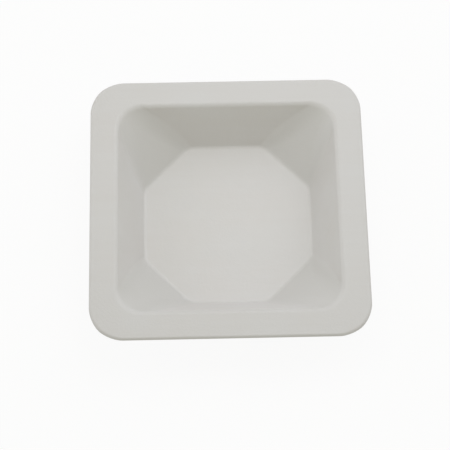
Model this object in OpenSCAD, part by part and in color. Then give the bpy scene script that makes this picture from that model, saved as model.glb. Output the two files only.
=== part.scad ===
// Small square weighing boat: a shallow dish formed in one piece from thin polystyrene sheet.
// A flat square rim leads over a soft fold into four side walls. Between the walls, facets and
// fan-shaped corners carry the rounded square opening down to an eight-sided floor.
// Millimetres. The dish stands on the underside of its floor at Z = 0, centred on the Z axis.

/* [Overall] */
// Width of the square rim, from edge to edge
rim_w = 41; // [36:0.5:70]
// Height from the surface the dish stands on to the top of the rim
boat_h = 8; // [6:0.1:14]
// Thickness of the formed sheet
sheet_t = 0.5; // [0.3:0.05:0.8]

/* [Rim] */
// Width of the flat rim, from its outer edge to the fold line above a side wall
rim_band = 4.1; // [2.5:0.1:7]
// Radius of the rim's outer corners, seen from above
rim_corner_r = 5; // [1:0.1:9]
// Roll-over along the top of the rim's trimmed edge
rim_edge_r = 0.4; // [0.05:0.05:0.45]

/* [Dish] */
// Radius of the opening's corners, seen from above
opening_corner_r = 3.6; // [1.5:0.1:9]
// Distance that each side wall leans in from the rim down to the floor
wall_run = 3.7; // [1.5:0.1:5.5]
// Length cut off each corner of the floor, measured along the floor's side
floor_cut = 6.9; // [4:0.1:9]
// Radius of the floor's eight corners, seen from above
floor_corner_r = 1.5; // [0.8:0.1:4]

/* [Folds] */
// Inside radius of the fold between wall and rim, on the underside of the sheet
shoulder_r = 0.5; // [0.1:0.05:1.2]
// Inside radius of the fold between floor and wall, on the upper side of the sheet
floor_fold_r = 0.9; // [0.2:0.05:1.5]

/* [Hidden] */

corner_steps = 8; // facets along each eighth of a turn round the dish
fold_steps = 5; // facets across each fold

depth = boat_h - sheet_t;
rim_half = rim_w / 2;
opening_half = rim_half - rim_band;
floor_half = opening_half - wall_run;
floor_side_half = floor_half - floor_cut;
edge_r = min(rim_edge_r, 0.9 * sheet_t); // the roll-over stays thinner than the sheet
lap = 0.2; // flat margin beyond each fold, where the walls overlap the floor and the rim
over = 1; // how far a cutting shape runs past what it cuts

// An outline is [long, short, r]: r is its corner radius, and its corner centres lie at
// (long, short) and (short, long). A rounded square has both centres in one place.
floor_outline = [
    floor_half - floor_corner_r,
    floor_side_half - (sqrt(2) - 1) * floor_corner_r,
    floor_corner_r
];
opening_outline = rounded_square(opening_half, opening_corner_r);

// The directions in which the sheet's sides and corners face, once round the dish. Each is
// [quarter, half of that quarter's corner, angle within the quarter].
directions = [
    for (quarter = [0:3], part = [0:1], step = [0:corner_steps])
        [quarter, part, 45 * (part + step / corner_steps)]
];

function rounded_square(half, r) = [half - r, half - r, r];

function turned(p, quarter) =
    quarter == 0 ? p : turned([-p[1], p[0]], quarter - 1);

function corner_centre(outline, part) =
    part == 0 ? [outline[0], outline[1]] : [outline[1], outline[0]];

// Distance from the axis to the outline's tangent line that faces direction d
function reach(outline, d) =
    corner_centre(outline, d[1]) * [cos(d[2]), sin(d[2])] + outline[2];

// Slope of the wall that faces direction d, up from the level
function lean(d) =
    atan2(depth, reach(opening_outline, d) - reach(floor_outline, d));

// The outline's point that faces direction d, moved outwards by grow
function outline_point(outline, grow, d) =
    turned(
        corner_centre(outline, d[1]) + (outline[2] + grow) * [cos(d[2]), sin(d[2])],
        d[0]
    );

function raised(p, z) = [p[0], p[1], z];

// Outlines of the floor's and the rim's flat parts: they start past the folds, and a
// positive margin runs on into the flat
function flat_floor(margin) = [
    for (d = directions)
        outline_point(floor_outline, -floor_fold_r * tan(lean(d) / 2) - margin, d)
];

function flat_rim(margin) = [
    for (d = directions)
        outline_point(
            opening_outline, (shoulder_r + sheet_t) * tan(lean(d) / 2) + margin, d
        )
];

// One ring of points across the floor fold, r from the fold's own centre line. The turn runs
// from 0 at the floor to 1 at the wall.
function floor_fold_ring(r, turn) = [
    for (d = directions)
        let (a = lean(d))
        raised(
            outline_point(
                floor_outline, -floor_fold_r * tan(a / 2) + r * sin(a * turn), d
            ),
            sheet_t + floor_fold_r - r * cos(a * turn)
        )
];

// The same across the shoulder, where the turn runs from 0 at the rim to 1 at the wall
function shoulder_ring(r, turn) = [
    for (d = directions)
        let (a = lean(d), outer_r = shoulder_r + sheet_t)
        raised(
            outline_point(
                opening_outline, outer_r * tan(a / 2) - r * sin(a * turn), d
            ),
            boat_h - outer_r + r * cos(a * turn)
        )
];

function level_ring(outline, z) = [for (p = outline) raised(p, z)];

// Rings in order: over the top from the floor to the rim, then back along the underside
wall_rings = concat(
    [level_ring(flat_floor(lap), sheet_t)],
    [for (i = [0:fold_steps]) floor_fold_ring(floor_fold_r, i / fold_steps)],
    [for (i = [fold_steps:-1:0]) shoulder_ring(shoulder_r + sheet_t, i / fold_steps)],
    [level_ring(flat_rim(lap), boat_h)],
    [level_ring(flat_rim(lap), depth)],
    [for (i = [0:fold_steps]) shoulder_ring(shoulder_r, i / fold_steps)],
    [for (i = [fold_steps:-1:0]) floor_fold_ring(floor_fold_r + sheet_t, i / fold_steps)],
    [level_ring(flat_floor(lap), 0)]
);

// Rings of points joined into one closed band, the last ring back to the first
module ring_band(rings) {
    n = len(rings[0]);
    m = len(rings);
    points = [for (ring = rings, p = ring) p];
    faces = [
        for (j = [0:m - 1], i = [0:n - 1])
            let (
                a = j * n + i,
                b = j * n + (i + 1) % n,
                c = (j + 1) % m * n + (i + 1) % n,
                d = (j + 1) % m * n + i
            )
            each [[a, b, c], [a, c, d]]
    ];
    polyhedron(points, faces);
}

// The rim's section out to its rolled-over edge, with its own inner end at X = 0
module rim_section(width) {
    difference() {
        square([width, sheet_t]);
        translate([width - edge_r, sheet_t - edge_r])
            difference() {
                square(edge_r + over);
                circle(edge_r, $fn = 32);
            }
    }
}

module rim_plate() {
    straight = rim_half - rim_corner_r;
    difference() {
        translate([0, 0, depth])
            for (quarter = [0:3])
                rotate(90 * quarter) {
                    translate([straight, straight, 0])
                        rotate_extrude(angle = 90, $fn = 96)
                            rim_section(rim_corner_r);
                    translate([0, straight, 0])
                        rotate([90, 0, 0])
                            linear_extrude(2 * straight)
                                rim_section(rim_half);
                }
        translate([0, 0, depth - over])
            linear_extrude(sheet_t + 2 * over)
                polygon(flat_rim(lap / 2));
    }
}

module floor_plate() {
    linear_extrude(sheet_t)
        polygon(flat_floor(lap / 2));
}

module boat() {
    color("#d2d1cc") {
        ring_band(wall_rings);
        floor_plate();
        rim_plate();
    }
}

boat();
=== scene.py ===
import math

import bpy
from mathutils import Matrix, Vector


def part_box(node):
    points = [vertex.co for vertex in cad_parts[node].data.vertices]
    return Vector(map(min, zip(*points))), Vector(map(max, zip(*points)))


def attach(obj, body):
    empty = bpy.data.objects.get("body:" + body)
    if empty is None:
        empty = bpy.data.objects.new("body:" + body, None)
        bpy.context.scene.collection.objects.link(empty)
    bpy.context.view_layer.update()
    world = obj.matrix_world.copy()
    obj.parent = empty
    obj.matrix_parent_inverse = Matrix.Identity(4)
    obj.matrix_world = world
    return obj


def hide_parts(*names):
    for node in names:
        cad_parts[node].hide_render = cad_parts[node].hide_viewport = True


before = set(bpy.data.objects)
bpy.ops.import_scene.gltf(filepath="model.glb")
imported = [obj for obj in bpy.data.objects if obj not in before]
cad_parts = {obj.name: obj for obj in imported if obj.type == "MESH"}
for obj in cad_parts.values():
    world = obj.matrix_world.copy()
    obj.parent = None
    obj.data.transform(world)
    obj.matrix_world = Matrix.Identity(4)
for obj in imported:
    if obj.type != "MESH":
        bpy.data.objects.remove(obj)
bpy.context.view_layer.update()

mm = 0.001  # everything in the file is in metres


def toLinear(code):
    # sRGB hex to the linear colour that the shaders work in
    parts = [int(code[i:i + 2], 16) / 255 for i in (1, 3, 5)]
    parts = [c / 12.92 if c <= 0.04045 else ((c + 0.055) / 1.055) ** 2.4 for c in parts]
    return (*parts, 1.0)


def addNode(tree, kind, settings=None, links=None):
    # settings are the node's own options or its sockets' values; links are socket: output
    node = tree.nodes.new(kind)
    for name, value in (settings or {}).items():
        if isinstance(name, str) and hasattr(node, name):
            setattr(node, name, value)
        else:
            node.inputs[name].default_value = value
    for name, output in (links or {}).items():
        tree.links.new(output, node.inputs[name])
    return node


def deselectAll():
    bpy.ops.object.select_all(action="DESELECT")


def editOnly(obj):
    # into edit mode on one object's edges, with none of them selected
    deselectAll()
    obj.select_set(True)
    bpy.context.view_layer.objects.active = obj
    bpy.ops.object.mode_set(mode="EDIT")
    bpy.ops.mesh.select_mode(type="EDGE")
    bpy.ops.mesh.select_all(action="DESELECT")


def pickEdges(obj, rule):
    # selects just the edges whose both ends pass the rule, and leaves the mesh in edit mode
    bpy.ops.mesh.select_all(action="DESELECT")
    bpy.ops.object.mode_set(mode="OBJECT")
    points = obj.data.vertices
    for edge in obj.data.edges:
        edge.select = all(rule(points[i].co) for i in edge.vertices)
    bpy.ops.object.mode_set(mode="EDIT")


def finishMode():
    bpy.ops.object.mode_set(mode="OBJECT")
    deselectAll()


camera = {
    "place": (-3.4, -86.3, 221.0),  # mm, in the part's own frame
    "aim": (-0.53, -3.18, 8.0),     # mm, a point level with the rim
    "roll": 0.73,                   # degrees anticlockwise, seen from behind the camera
    "lens": 124.2,                  # mm
    "sensor": 36.0,                 # mm
    "clipFrom": 0.01,               # m
    "clipTo": 10,                   # m
}

cameraData = bpy.data.cameras.new("camera")
cameraData.lens = camera["lens"]
cameraData.sensor_width = camera["sensor"]
cameraData.clip_start = camera["clipFrom"]
cameraData.clip_end = camera["clipTo"]
cameraObject = bpy.data.objects.new("camera", cameraData)
bpy.context.scene.collection.objects.link(cameraObject)
cameraPlace = Vector(camera["place"]) * mm
cameraTurn = (Vector(camera["aim"]) * mm - cameraPlace).to_track_quat("-Z", "Y")
cameraObject.matrix_world = (
    Matrix.Translation(cameraPlace)
    @ cameraTurn.to_matrix().to_4x4()
    @ Matrix.Rotation(math.radians(camera["roll"]), 4, "Z")
)
bpy.context.scene.camera = cameraObject
print("camera set")


# The boat is one sheet, formed over a mould and trimmed
boat = {
    "sheet": 0.5 * mm,
    "rimBand": 4.1 * mm,        # flat rim, from its outer edge to the line of the fold
    "rimCorner": 5.0 * mm,      # radius seen from above
    "openingCorner": 3.6 * mm,  # radius seen from above
    "wallRun": 3.7 * mm,        # how far a side wall leans in on its way down
    "floorCut": 6.9 * mm,       # cut off each corner of the floor, along its side
    "floorCorner": 0.85 * mm,   # how far the rounding of the floor's corners reaches
    "creaseRelief": 1.0 * mm,   # how much further the creases' rounding reaches half way up
    "shoulder": 0.56 * mm,      # how far the rim's fold reaches from its line
    "floorFold": 0.42 * mm,     # how far the floor's fold reaches from its line
    "trim": 0.4 * mm,           # roll-over along the top of the trimmed edge
    "burr": 0.06 * mm,          # break along the underside of the trimmed edge
    "lift": 2 * mm,             # how far up the rim's outline waits while it is bridged
    "cornerSteps": 8,
    "wallSteps": 6,
    "foldSteps": 6,
    "trimSteps": 5,
    "burrSteps": 2,
    "smoothAngle": 40,          # degrees, edges that turn less than this shade as smooth
    "flatWeight": 100,          # how firmly the large flat faces hold the shading, 100 is most
}

low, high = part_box("boat")
rimHalf = high.x
openingHalf = rimHalf - boat["rimBand"]
floorHalf = openingHalf - boat["wallRun"]
floorTop = low.z + boat["sheet"]
chamferShare = 2 - math.sqrt(2)  # a cut this share of a corner's radius just touches its round
nearlyAll = 0.97                 # leaves a sliver of each cut, so every outline has 8 corners


def drawOutline(name, half, cut, rounding, z):
    # a square with its corners cut at 45 degrees and each of the eight new corners rounded
    bpy.ops.mesh.primitive_plane_add(size=2 * half, location=(0, 0, z))
    obj = bpy.context.object
    obj.name = name
    bpy.ops.object.transform_apply(location=True, rotation=True, scale=True)
    bpy.ops.object.mode_set(mode="EDIT")
    bpy.ops.mesh.select_all(action="SELECT")
    bpy.ops.mesh.bevel(offset=cut, segments=1, affect="VERTICES")
    bpy.ops.mesh.select_all(action="SELECT")
    bpy.ops.mesh.bevel(offset=rounding, segments=boat["cornerSteps"], affect="VERTICES")
    bpy.ops.mesh.select_all(action="SELECT")
    bpy.ops.mesh.delete(type="ONLY_FACE")
    finishMode()
    return obj


def fullRounding(cut):
    # the longest reach that two neighbouring roundings both have room for on a cut
    return nearlyAll * cut / math.sqrt(2)


def between(start, end, share):
    return start + (end - start) * share


def wallOutline(share):
    # the dish's outline at a share of the way up its walls, from the cut floor to the round opening
    openingCut = chamferShare * boat["openingCorner"]
    cut = between(boat["floorCut"], openingCut, share)
    rounding = between(boat["floorCorner"], fullRounding(openingCut), share)
    rounding += boat["creaseRelief"] * 4 * share * (1 - share)  # a parabola, 1 half way up
    half = between(floorHalf, openingHalf, share)
    z = between(floorTop, high.z, share)
    return drawOutline("wallOutline", half, cut, min(rounding, fullRounding(cut)), z)


def rimOutline():
    cut = chamferShare * boat["rimCorner"]
    return drawOutline("rimOutline", rimHalf, cut, fullRounding(cut), high.z + boat["lift"])


deselectAll()
outlines = [wallOutline(step / boat["wallSteps"]) for step in range(boat["wallSteps"] + 1)]
outlines.append(rimOutline())
for outline in outlines:
    outline.select_set(True)
boatPiece = outlines[0]
bpy.context.view_layer.objects.active = boatPiece
bpy.ops.object.join()
boatPiece.name = "formedBoat"
boatPiece.data.name = "formedBoat"

tiny = 0.01 * mm  # points nearer than this are at one height


def isAt(value, wanted):
    return abs(value - wanted) < tiny


def farthest(co):
    return max(abs(co.x), abs(co.y))


def onFloor(co):
    return isAt(co.z, floorTop)


def onOpening(co):
    return isAt(co.z, high.z) and farthest(co) < openingHalf + tiny


def isLifted(co):
    return isAt(co.z, high.z + boat["lift"])


editOnly(boatPiece)
pickEdges(boatPiece, lambda co: not isLifted(co))
bpy.ops.mesh.bridge_edge_loops()  # the walls, outline by outline
pickEdges(boatPiece, lambda co: onOpening(co) or isLifted(co))
bpy.ops.mesh.bridge_edge_loops()  # the rim, still sloping: outlines in one plane bridge crossed
pickEdges(boatPiece, isLifted)
bpy.ops.transform.translate(value=(0, 0, -boat["lift"]))
pickEdges(boatPiece, onFloor)
bpy.ops.mesh.edge_face_add()
bpy.ops.mesh.select_all(action="SELECT")
bpy.ops.mesh.normals_make_consistent(inside=False)
finishMode()
if min(face.normal.z for face in boatPiece.data.polygons) < 0:
    editOnly(boatPiece)
    bpy.ops.mesh.select_all(action="SELECT")
    bpy.ops.mesh.flip_normals()  # the whole sheet faces up, so that its thickness goes down
    finishMode()
print("boat lofted:", len(boatPiece.data.polygons), "faces")

# the two folds, rounded as the warm sheet goes over the mould's edges
editOnly(boatPiece)
pickEdges(boatPiece, onFloor)
bpy.ops.mesh.bevel(offset=boat["floorFold"], segments=boat["foldSteps"], affect="EDGES")
pickEdges(boatPiece, onOpening)
bpy.ops.mesh.bevel(offset=boat["shoulder"], segments=boat["foldSteps"], affect="EDGES")
finishMode()
print("boat folded:", len(boatPiece.data.polygons), "faces")

# the sheet's thickness, and the edge that the trimming die leaves
sheetThickness = boatPiece.modifiers.new("sheet", "SOLIDIFY")
sheetThickness.thickness = boat["sheet"]
sheetThickness.offset = -1  # all of it below the upper surface
sheetThickness.use_even_offset = True
bpy.context.view_layer.objects.active = boatPiece
bpy.ops.object.modifier_apply(modifier=sheetThickness.name)


def onTrimmedEdge(co):
    # clear of the shoulder's fold, so out at the rim's edge
    return farthest(co) > openingHalf + 2 * boat["shoulder"]


editOnly(boatPiece)
pickEdges(boatPiece, lambda co: onTrimmedEdge(co) and isAt(co.z, high.z))
bpy.ops.mesh.bevel(offset=boat["trim"], segments=boat["trimSteps"], affect="EDGES")
pickEdges(boatPiece, lambda co: onTrimmedEdge(co) and isAt(co.z, high.z - boat["sheet"]))
bpy.ops.mesh.bevel(offset=boat["burr"], segments=boat["burrSteps"], affect="EDGES")
finishMode()

# smooth over the folds while the flats stay flat
boatPiece.select_set(True)
bpy.context.view_layer.objects.active = boatPiece
bpy.ops.object.shade_smooth_by_angle(angle=math.radians(boat["smoothAngle"]))
flatKeeper = boatPiece.modifiers.new("flats", "WEIGHTED_NORMAL")
flatKeeper.mode = "FACE_AREA"
flatKeeper.weight = boat["flatWeight"]
flatKeeper.keep_sharp = True
bpy.ops.object.modifier_apply(modifier=flatKeeper.name)
deselectAll()
print("boat trimmed:", len(boatPiece.data.polygons), "faces")


# White high-impact polystyrene, extruded as a sheet and vacuum formed over a matt mould: an even
# off-white with a soft satin shine, faintly streaked along the way the sheet was drawn, with
# painted shade that makes the rim and the corner facets a little greyer, and with the mould's fine
# matt grain.
polystyrene = {
    "tone": "#D7D5D3",
    "shade": "#D4D1CE",          # clouds and streaks, where the sheet is a little less opaque
    "thin": "#CECCC9",           # painted shade: the corner facets drawn a little darker
    "rimShadeTint": "#F7F7F7",        # painted shade: the rim drawn a little darker than the floor
    "ior": 1.59,
    "roughness": (0.42, 0.52),
    "cloudSize": 9 * mm,         # soft clouds of thicker and thinner sheet
    "streakWidth": 1.1 * mm,     # spacing of the lines that the extruder's die leaves
    "streakLength": 16,          # streak widths
    "streakShare": 0.35,         # how much the streaks colour it, beside the clouds
    "toneNoise": (0.45, 0.9),    # the noise's range, from all shade to all tone
    "shineNoise": (0.3, 0.7),    # the noise's range, from the first roughness to the second
    "grainSize": 0.35 * mm,      # the real grain is nearer 0.05 mm, too fine to show
    "grainDepth": 0.02 * mm,     # as steep as the real grain, at the coarser size
    "streakDepth": 0.008 * mm,
    "cornerShadeFrom": -1.8 * mm,     # how far past the ends of the side walls the painted corner shade begins
    "cornerShadeFull": 1.5 * mm,      # and how far past them it is all there
    "thinFrom": 0.5 * mm,        # height of the floor's top, where the painted corner shade begins
    "thinFull": 0.62 * mm,       # and the height by which it is all there
    "thinFades": 7.4 * mm,       # height at which the corner shade starts to give way to the rim's painted shade
    "thinEnds": 7.98 * mm,       # from this height up it is all rim
}


def addShadeMasks(tree, place, facts):
    # two masks of painted shade over the sheet: one on the corner facets, one on the rim;
    # from above, a side wall ends along the line nearer = endLine + endSlope * farther
    endRun = (openingHalf - boat["openingCorner"]) - (floorHalf - boat["floorCut"])
    endSlope = endRun / boat["wallRun"]
    endLine = floorHalf - boat["floorCut"] - endSlope * floorHalf
    axes = addNode(tree, "ShaderNodeSeparateXYZ", None, {"Vector": place})
    sides = [
        addNode(tree, "ShaderNodeMath", {"operation": "ABSOLUTE"}, {0: axes.outputs[axis]})
        for axis in "XY"
    ]
    nearer, farther = [
        addNode(
            tree, "ShaderNodeMath", {"operation": operation},
            {0: sides[0].outputs["Value"], 1: sides[1].outputs["Value"]},
        )
        for operation in ("MINIMUM", "MAXIMUM")
    ]
    pastWall = addNode(
        tree, "ShaderNodeMath", {"operation": "MULTIPLY_ADD", 1: -endSlope},
        {0: farther.outputs["Value"], 2: nearer.outputs["Value"]},
    )
    cornerShadeSides = addNode(
        tree, "ShaderNodeMapRange",
        {"interpolation_type": "SMOOTHSTEP",
         "From Min": endLine + facts["cornerShadeFrom"], "From Max": endLine + facts["cornerShadeFull"]},
        {"Value": pastWall.outputs["Value"]},
    )
    aboveFloor = addNode(
        tree, "ShaderNodeMapRange",
        {"interpolation_type": "SMOOTHSTEP",
         "From Min": facts["thinFrom"], "From Max": facts["thinFull"]},
        {"Value": axes.outputs["Z"]},
    )
    belowRim = addNode(
        tree, "ShaderNodeMapRange",
        {"interpolation_type": "SMOOTHSTEP",
         "From Min": facts["thinEnds"], "From Max": facts["thinFades"]},
        {"Value": axes.outputs["Z"]},
    )
    cornerShadeHeights = addNode(
        tree, "ShaderNodeMath", {"operation": "MULTIPLY"},
        {0: aboveFloor.outputs["Result"], 1: belowRim.outputs["Result"]},
    )
    cornerShadeShare = addNode(
        tree, "ShaderNodeMath", {"operation": "MULTIPLY"},
        {0: cornerShadeSides.outputs["Result"], 1: cornerShadeHeights.outputs["Value"]},
    )
    rimShadeShare = addNode(
        tree, "ShaderNodeMath", {"operation": "SUBTRACT", 0: 1.0}, {1: belowRim.outputs["Result"]}
    )
    return cornerShadeShare.outputs["Value"], rimShadeShare.outputs["Value"]


def addTexture(tree, place, streaks, facts):
    # the mould's grain, over the die's streaks
    grain = addNode(
        tree, "ShaderNodeTexNoise",
        {"Scale": 1 / facts["grainSize"], "Detail": 2.0, "Roughness": 0.6},
        {"Vector": place},
    )
    streakBump = addNode(
        tree, "ShaderNodeBump", {"Strength": 1.0, "Distance": facts["streakDepth"]},
        {"Height": streaks},
    )
    grainBump = addNode(
        tree, "ShaderNodeBump", {"Strength": 1.0, "Distance": facts["grainDepth"]},
        {"Height": grain.outputs["Fac"], "Normal": streakBump.outputs["Normal"]},
    )
    return grainBump.outputs["Normal"]


def makePolystyrene(facts):
    material = bpy.data.materials.new("vacuumFormedPolystyrene")
    material.use_nodes = True
    tree = material.node_tree
    tree.nodes.clear()
    place = addNode(tree, "ShaderNodeTexCoord").outputs["Object"]

    # clouds and streaks vary the tone by a few parts in a hundred
    clouds = addNode(
        tree, "ShaderNodeTexNoise",
        {"Scale": 1 / facts["cloudSize"], "Detail": 3.0, "Roughness": 0.5},
        {"Vector": place},
    )
    drawn = addNode(
        tree, "ShaderNodeMapping", {"Scale": (1 / facts["streakLength"], 1.0, 1.0)},
        {"Vector": place},
    )
    streaks = addNode(
        tree, "ShaderNodeTexNoise",
        {"Scale": 1 / facts["streakWidth"], "Detail": 2.0, "Roughness": 0.6},
        {"Vector": drawn.outputs["Vector"]},
    )
    both = addNode(
        tree, "ShaderNodeMath", {"operation": "MULTIPLY_ADD", 1: facts["streakShare"]},
        {0: streaks.outputs["Fac"], 2: clouds.outputs["Fac"]},
    )
    spread = addNode(
        tree, "ShaderNodeMapRange",
        {"From Min": facts["toneNoise"][0], "From Max": facts["toneNoise"][1],
         "To Min": 0.0, "To Max": 1.0},
        {"Value": both.outputs["Value"]},
    )
    evenTone = addNode(
        tree, "ShaderNodeMix",
        {"data_type": "RGBA", "A": toLinear(facts["shade"]), "B": toLinear(facts["tone"])},
        {"Factor": spread.outputs["Result"]},
    )
    cornerShadeShare, rimShadeShare = addShadeMasks(tree, place, facts)
    # painted shade: the corner facets drawn darker than the rest of the sheet
    toneWithCornerShade = addNode(
        tree, "ShaderNodeMix", {"data_type": "RGBA", "B": toLinear(facts["thin"])},
        {"Factor": cornerShadeShare, "A": evenTone.outputs["Result"]},
    )
    # painted shade: the rim multiplied a little darker than the floor and walls
    colour = addNode(
        tree, "ShaderNodeMix",
        {"data_type": "RGBA", "blend_type": "MULTIPLY", "B": toLinear(facts["rimShadeTint"])},
        {"Factor": rimShadeShare, "A": toneWithCornerShade.outputs["Result"]},
    )
    shine = addNode(
        tree, "ShaderNodeMapRange",
        {"From Min": facts["shineNoise"][0], "From Max": facts["shineNoise"][1],
         "To Min": facts["roughness"][0], "To Max": facts["roughness"][1]},
        {"Value": clouds.outputs["Fac"]},
    )
    shader = addNode(
        tree, "ShaderNodeBsdfPrincipled", {"IOR": facts["ior"], "Metallic": 0.0},
        {"Base Color": colour.outputs["Result"], "Roughness": shine.outputs["Result"],
         "Normal": addTexture(tree, place, streaks.outputs["Fac"], facts)},
    )
    addNode(tree, "ShaderNodeOutputMaterial", None, {"Surface": shader.outputs["BSDF"]})
    return material


boatPiece.data.materials.clear()
boatPiece.data.materials.append(makePolystyrene(polystyrene))
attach(boatPiece, "root")
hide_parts("boat")
print("boat finished")


# A matte pale table under a plain sky, with three soft lamps: behind on the right, low on the
# left, and a small one above. Only the boat's shadow tells the table from the white round it.
studio = {
    "tableSize": 4.0,       # m
    "tableTone": "#ECECEA",
    "backdrop": 1.0,        # what the camera sees of the table and the sky, 1 is white
    "backdropShare": 0.92,  # the rest is the lit table, which carries the shadow
    "skyTone": "#FEFEF1",
    "skyLevel": 0.56,
    "lamps": [
        # name, place in mm, size in mm, watts, tone
        ("keyLamp", (150, 150, 210), 300, 0.28, "#E8EDFF"),
        ("fillLamp", (-270, 75, 105), 300, 0.205, "#EAEDFF"),
        ("topLamp", (0, 40, 115), 70, 0.02, "#FFFFFF"),
    ],
}


def backdropMask(tree):
    # 1 for what the camera sees directly, in a gloss or through something clear
    ray = addNode(tree, "ShaderNodeLightPath")
    mask = ray.outputs["Is Camera Ray"]
    for name in ("Is Glossy Ray", "Is Transmission Ray"):
        mask = addNode(
            tree, "ShaderNodeMath", {"operation": "MAXIMUM"}, {0: mask, 1: ray.outputs[name]}
        ).outputs["Value"]
    return mask


def makeTablePaint(facts):
    material = bpy.data.materials.new("matteTable")
    material.use_nodes = True
    tree = material.node_tree
    tree.nodes.clear()
    paint = addNode(tree, "ShaderNodeBsdfDiffuse", {"Color": toLinear(facts["tableTone"])})
    glow = addNode(tree, "ShaderNodeEmission", {"Strength": facts["backdrop"]})
    share = addNode(
        tree, "ShaderNodeMath", {"operation": "MULTIPLY", 1: facts["backdropShare"]},
        {0: backdropMask(tree)},
    )
    mixed = addNode(
        tree, "ShaderNodeMixShader", None,
        {0: share.outputs["Value"], 1: paint.outputs["BSDF"], 2: glow.outputs["Emission"]},
    )
    addNode(tree, "ShaderNodeOutputMaterial", None, {"Surface": mixed.outputs["Shader"]})
    return material


def makeSky(facts):
    world = bpy.data.worlds.new("studio")
    world.use_nodes = True
    tree = world.node_tree
    tree.nodes.clear()
    sky = addNode(
        tree, "ShaderNodeBackground",
        {"Color": toLinear(facts["skyTone"]), "Strength": facts["skyLevel"]},
    )
    plain = addNode(
        tree, "ShaderNodeBackground", {"Color": (1, 1, 1, 1), "Strength": facts["backdrop"]}
    )
    mixed = addNode(
        tree, "ShaderNodeMixShader", None,
        {0: backdropMask(tree), 1: sky.outputs["Background"], 2: plain.outputs["Background"]},
    )
    addNode(tree, "ShaderNodeOutputWorld", None, {"Surface": mixed.outputs["Shader"]})
    return world


def addLamp(name, place, size, watts, tone):
    # a round soft lamp that points at the middle of the floor
    lampData = bpy.data.lights.new(name, "AREA")
    lampData.shape = "DISK"
    lampData.size = size * mm
    lampData.energy = watts
    lampData.color = toLinear(tone)[:3]
    lamp = bpy.data.objects.new(name, lampData)
    bpy.context.scene.collection.objects.link(lamp)
    lamp.location = Vector(place) * mm
    lamp.rotation_mode = "QUATERNION"
    lamp.rotation_quaternion = (-lamp.location).to_track_quat("-Z", "Y")


bpy.ops.mesh.primitive_plane_add(size=studio["tableSize"], location=(0, 0, low.z))
table = bpy.context.object
table.name = "table"
bpy.ops.object.transform_apply(location=True, rotation=True, scale=True)
table.data.materials.append(makeTablePaint(studio))
bpy.context.scene.world = makeSky(studio)
for lampFacts in studio["lamps"]:
    addLamp(*lampFacts)
print("studio lit")

bpy.context.scene.view_settings.view_transform = "Standard"
